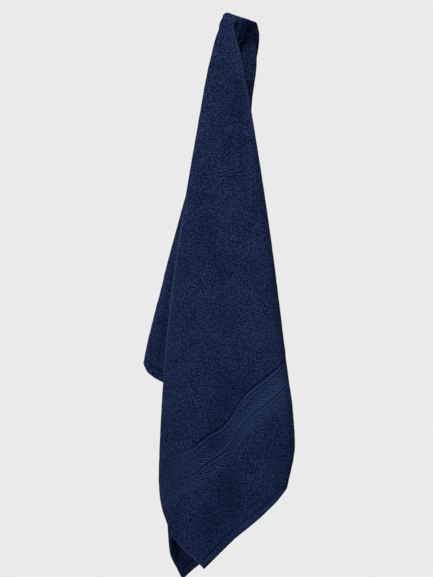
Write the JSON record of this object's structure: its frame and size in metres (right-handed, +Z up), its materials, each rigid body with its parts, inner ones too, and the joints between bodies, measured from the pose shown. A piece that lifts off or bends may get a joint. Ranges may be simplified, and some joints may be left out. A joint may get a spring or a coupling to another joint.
{
  "type": "hanging hand towel",
  "caption": "Navy terry hand towel draped from a hang point, a narrow bundle of folds with its corners lowest, a flat woven border near each hem and a side flap behind.",
  "frame": {"origin": "the underside of the top fold, where a peg carries the cloth", "axes": "+Z up, +X to the viewer's right, +Y away from the viewer"},
  "size_m": [0.151, 0.058, 0.5673],
  "materials": {
    "terry": "matte looped cotton pile"
  },
  "bodies": {
    "root": {"towel": "terry"}
  },
  "joints": []
}
